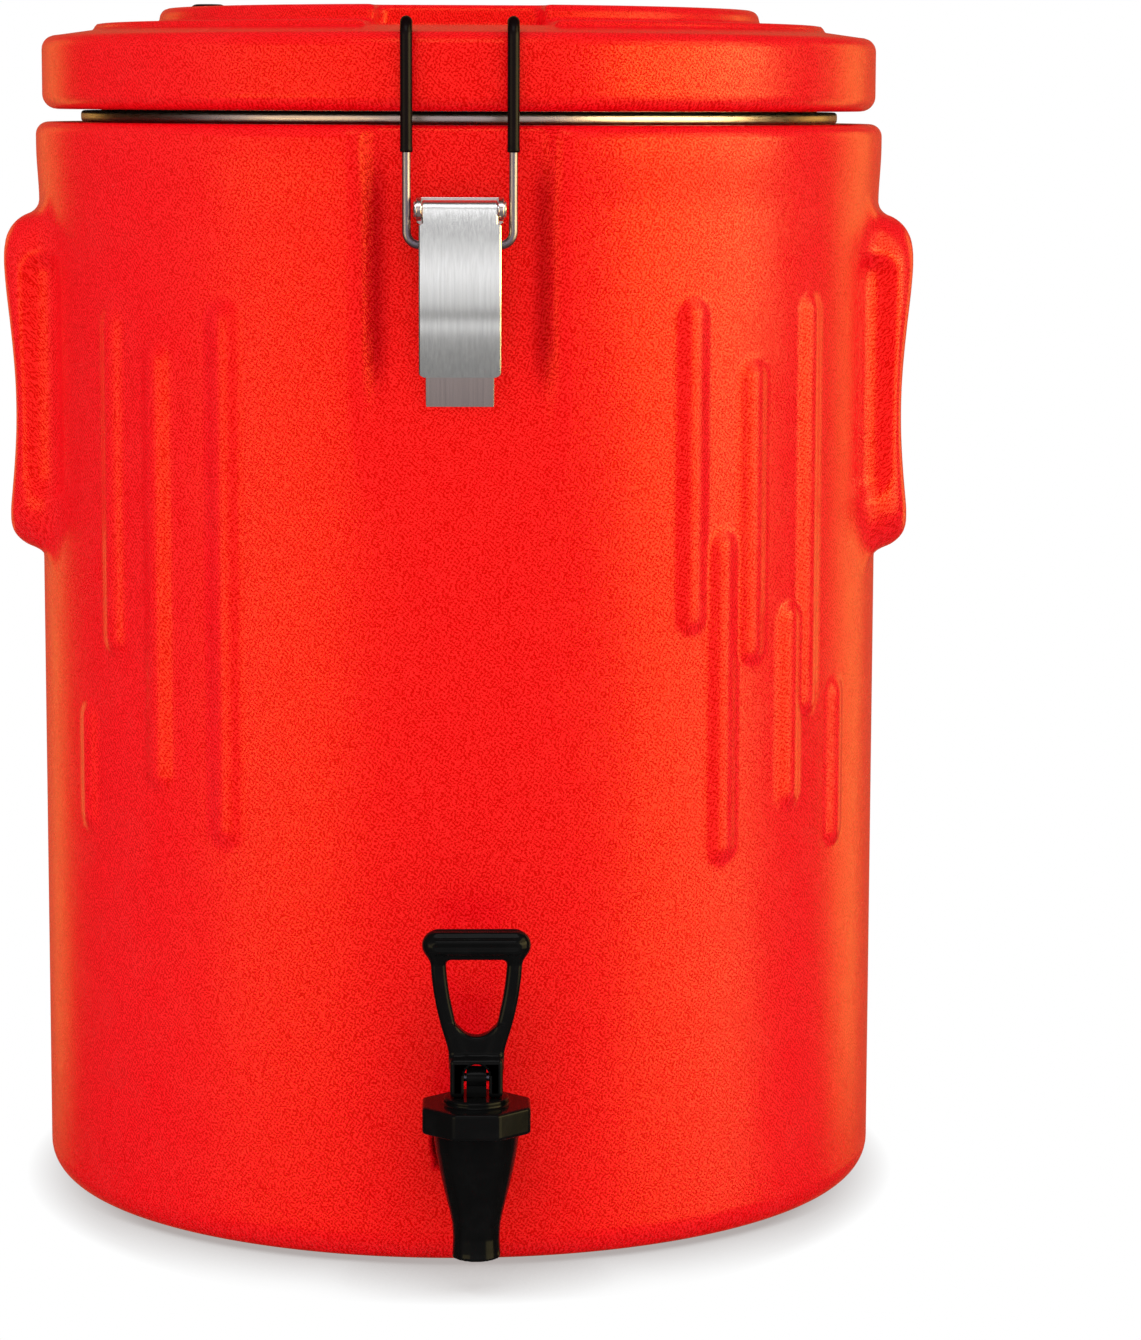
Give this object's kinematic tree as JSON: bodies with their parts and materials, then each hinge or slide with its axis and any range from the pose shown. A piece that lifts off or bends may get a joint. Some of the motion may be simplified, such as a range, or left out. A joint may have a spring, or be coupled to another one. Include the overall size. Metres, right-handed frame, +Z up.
{
  "type": "insulated drink cooler",
  "caption": "Red insulated barrel for drinks, with a steel liner, a gasketed lid held by wire-bail toggle latches, moulded side handles and a spring-closed tap.",
  "frame": {"origin": "centre of the flat base, on the surface that the barrel stands on", "axes": "+Z up, -Y the front with the tap and a latch, +X to the right seen from the front"},
  "size_m": [0.36, 0.4024, 0.4738],
  "materials": {
    "red_shell": "satin",
    "red_lid": "satin",
    "foam": "matte",
    "liner_steel": "satin",
    "latch_steel": "satin",
    "bail_wire": "polished",
    "black_vinyl": "gloss",
    "black_plastic": "gloss",
    "dark_rubber": "matte",
    "silicone": "matte"
  },
  "bodies": {
    "barrel": {"outer_shell": "red_shell", "body_foam": "foam", "inner_liner": "liner_steel", "base_plug": "black_plastic", "front_latch_base": "latch_steel", "front_latch_pin": "latch_steel", "front_latch_screws": "latch_steel", "rear_latch_base": "latch_steel", "rear_latch_pin": "latch_steel", "rear_latch_screws": "latch_steel", "tap_body": "black_plastic", "tap_bonnet": "black_plastic", "tap_spring": "bail_wire", "tap_outer_washer": "dark_rubber", "tap_inner_washer": "silicone", "tap_nut": "black_plastic"},
    "lid": {"lid_shell": "red_lid", "lid_foam": "foam", "lid_gasket": "dark_rubber", "vent_seat": "black_plastic"},
    "vent": {"vent_plug": "black_plastic"},
    "front_latch_lever": {"front_lever": "latch_steel"},
    "front_latch_bail": {"front_bail": "bail_wire", "front_sleeves": "black_vinyl"},
    "rear_latch_lever": {"rear_lever": "latch_steel"},
    "rear_latch_bail": {"rear_bail": "bail_wire", "rear_sleeves": "black_vinyl"},
    "tap_valve": {"tap_stem": "black_plastic", "tap_seat_cup": "silicone", "tap_handle_pin": "bail_wire"},
    "tap_lever": {"tap_handle": "black_plastic"}
  },
  "joints": [
    {"name": "lid_lift", "type": "slide", "parent": "barrel", "child": "lid", "axis": [0, 0, 1], "range_m": [0, 0.05]},
    {"name": "vent_pull", "type": "slide", "parent": "lid", "child": "vent", "axis": [0, 0, 1], "range_m": [0, 0.026]},
    {"name": "front_lever_swing", "type": "hinge", "parent": "barrel", "child": "front_latch_lever", "pos_m": [0, -0.17225, 0.3967], "axis": [-1, 0, 0], "range_deg": [0, 150]},
    {"name": "front_bail_swing", "type": "hinge", "parent": "front_latch_lever", "child": "front_latch_bail", "pos_m": [0, -0.17075, 0.3836], "axis": [1, 0, 0], "range_deg": [0, 320]},
    {"name": "rear_lever_swing", "type": "hinge", "parent": "barrel", "child": "rear_latch_lever", "pos_m": [0, 0.17225, 0.3967], "axis": [1, 0, 0], "range_deg": [0, 150]},
    {"name": "rear_bail_swing", "type": "hinge", "parent": "rear_latch_lever", "child": "rear_latch_bail", "pos_m": [0, 0.17075, 0.3836], "axis": [-1, 0, 0], "range_deg": [0, 320]},
    {"name": "tap_stem_lift", "type": "slide", "parent": "barrel", "child": "tap_valve", "axis": [0, 0, 1], "range_m": [0, 0.004], "deforming": ["tap_spring"]},
    {"name": "tap_handle_tilt", "type": "hinge", "parent": "tap_valve", "child": "tap_lever", "pos_m": [0.006, -0.203, 0.081], "axis": [1, 0, 0], "range_deg": [0, 30], "stiffness_Nm_per_rad": 0.3}
  ],
  "couplings": [
    {"joint": "front_lever_swing", "follows": "lid_lift", "rad_per_m": 52.3},
    {"joint": "front_bail_swing", "follows": "lid_lift", "rad_per_m": 111.6},
    {"joint": "rear_lever_swing", "follows": "lid_lift", "rad_per_m": 52.3},
    {"joint": "rear_bail_swing", "follows": "lid_lift", "rad_per_m": 111.6},
    {"joint": "tap_stem_lift", "follows": "tap_handle_tilt", "m_per_rad": 0.00763}
  ]
}
